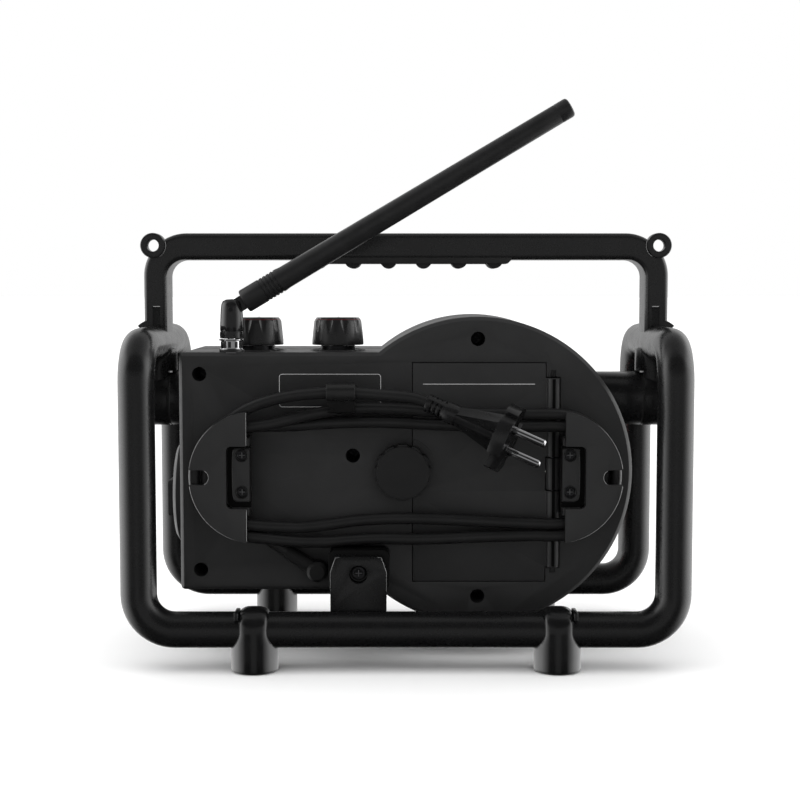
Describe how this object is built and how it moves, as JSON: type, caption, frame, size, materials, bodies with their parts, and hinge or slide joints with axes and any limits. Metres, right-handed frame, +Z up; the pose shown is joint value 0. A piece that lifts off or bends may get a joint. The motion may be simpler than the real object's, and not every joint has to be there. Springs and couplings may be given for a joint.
{
  "type": "jobsite radio",
  "caption": "Rugged portable radio: a black body with a round loudspeaker end hung in a bent-tube roll cage, with a top handle, a folding antenna and its mains lead wound on the back.",
  "frame": {"origin": "on the floor, under the middle of the tube frame", "axes": "+Z up; -Y is the front with loudspeaker and display; +Y is the back with battery door and wound lead; +X is the side with the port cover"},
  "size_m": [0.3194, 0.183, 0.3169],
  "materials": {
    "frame_tube": "satin black powder coat",
    "foot_boot": "moulded black, fine grain",
    "handle_plastic": "moulded black, satin",
    "grip_rubber": "soft-touch black",
    "case_plastic": "moulded black, fine spark-eroded grain",
    "trim_plastic": "moulded black, smoother than the case",
    "cover_rubber": "dark rubber flap",
    "screw_steel": "blackened steel",
    "panel_gloss": "dark fascia",
    "ring_red": "red trim ring",
    "grille_metal": "black painted",
    "basket_metal": "black painted pressing",
    "magnet_iron": "bare ferrite and steel",
    "cone_paper": "pressed fibre",
    "surround_rubber": "black roll",
    "lens_clear": "tinted window",
    "display_glass": "unlit display",
    "board_green": "circuit board",
    "contact_brass": "sprung contacts",
    "lead_rubber": "satin black mains lead",
    "clip_plastic": "black clip",
    "pin_chrome": "bright nickel",
    "antenna_rubber": "black rubber sleeve",
    "knob_plastic": "black with a thin red line",
    "button_red": "red",
    "button_grey": "grey"
  },
  "bodies": {
    "case": {"rear_rail": "frame_tube", "front_rail": "frame_tube", "left_hoop": "frame_tube", "right_hoop": "frame_tube", "foot_rear_left": "foot_boot", "foot_rear_right": "foot_boot", "foot_front_left": "foot_boot", "foot_front_right": "foot_boot", "handle_frame": "handle_plastic", "handle_grip": "grip_rubber", "side_hanger_left": "frame_tube", "side_hanger_right": "frame_tube", "side_stub_left": "frame_tube", "side_stub_right": "frame_tube", "isolators": "grip_rubber", "frame_bolts": "screw_steel", "bottom_bracket": "frame_tube", "bracket_damper": "grip_rubber", "rear_shell": "case_plastic", "front_shell": "case_plastic", "case_screws": "screw_steel", "front_panel": "panel_gloss", "grille_ring": "ring_red", "speaker_grille": "grille_metal", "speaker_basket": "basket_metal", "speaker_magnet": "magnet_iron", "speaker_surround": "surround_rubber", "display_lens": "lens_clear", "display_module": "display_glass", "main_board": "board_green", "power_board": "board_green", "battery_tray": "case_plastic", "battery_contacts": "contact_brass", "hinge_pin": "screw_steel", "cord_guard_left": "trim_plastic", "cord_guard_right": "trim_plastic", "guard_screws": "screw_steel", "cord_gland": "lead_rubber", "cord_lead_in": "lead_rubber", "cord_hank": "lead_rubber", "cord_lead_out": "lead_rubber", "cable_clip": "clip_plastic", "plug_body": "lead_rubber", "plug_pins": "pin_chrome", "port_pod": "trim_plastic", "antenna_socket": "pin_chrome", "encoders": "screw_steel"},
    "door": {"battery_door": "case_plastic"},
    "latch": {"latch_knob": "trim_plastic"},
    "antenna_swivel_base": {"antenna_base": "antenna_rubber", "antenna_pin": "screw_steel"},
    "antenna_rod": {"antenna_whip": "antenna_rubber"},
    "volume": {"volume_knob": "knob_plastic"},
    "tuning": {"tuning_knob": "knob_plastic"},
    "cone": {"speaker_cone": "cone_paper"},
    "port_flap": {"port_cover": "cover_rubber"},
    "power_key": {"button_power": "button_red"},
    "mode_key": {"button_mode": "button_grey"},
    "back_key": {"button_back": "button_grey"},
    "next_key": {"button_next": "button_grey"}
  },
  "joints": [
    {"name": "door_hinge", "type": "hinge", "parent": "case", "child": "door", "pos_m": [-0.083, 0.0484, 0.107], "axis": [0, 0, 1], "range_deg": [0, 1.5]},
    {"name": "latch_turn", "type": "hinge", "parent": "door", "child": "latch", "pos_m": [0.0018, 0.0484, 0.1078], "axis": [0, 1, 0], "range_deg": [0, 90]},
    {"name": "antenna_swivel", "type": "hinge", "parent": "case", "child": "antenna_swivel_base", "pos_m": [0.0986, 0.0404, 0.19], "axis": [0, 0, 1], "range_deg": [-180, 0]},
    {"name": "antenna_tilt", "type": "hinge", "parent": "antenna_swivel_base", "child": "antenna_rod", "pos_m": [0.0986, 0.0404, 0.1992], "axis": [0, 1, 0], "range_deg": [-26, 59]},
    {"name": "volume_turn", "type": "hinge", "parent": "case", "child": "volume", "pos_m": [0.0866, 0.0134, 0.18], "axis": [0, 0, 1], "continuous": true},
    {"name": "tuning_turn", "type": "hinge", "parent": "case", "child": "tuning", "pos_m": [0.0398, 0.0134, 0.18], "axis": [0, 0, 1], "continuous": true},
    {"name": "cone_travel", "type": "slide", "parent": "case", "child": "cone", "axis": [0, 1, 0], "range_m": [-0.002, 0.002], "stiffness_N_per_m": 1500},
    {"name": "port_flap_hinge", "type": "hinge", "parent": "case", "child": "port_flap", "pos_m": [0.1349, 0.005, 0.078], "axis": [0, 1, 0], "range_deg": [0, 90]},
    {"name": "power_press", "type": "slide", "parent": "case", "child": "power_key", "axis": [0, 1, 0], "range_m": [0, 0.0012], "stiffness_N_per_m": 300},
    {"name": "mode_press", "type": "slide", "parent": "case", "child": "mode_key", "axis": [0, 1, 0], "range_m": [0, 0.0012], "stiffness_N_per_m": 300},
    {"name": "back_press", "type": "slide", "parent": "case", "child": "back_key", "axis": [0, 1, 0], "range_m": [0, 0.0012], "stiffness_N_per_m": 300},
    {"name": "next_press", "type": "slide", "parent": "case", "child": "next_key", "axis": [0, 1, 0], "range_m": [0, 0.0012], "stiffness_N_per_m": 300}
  ]
}
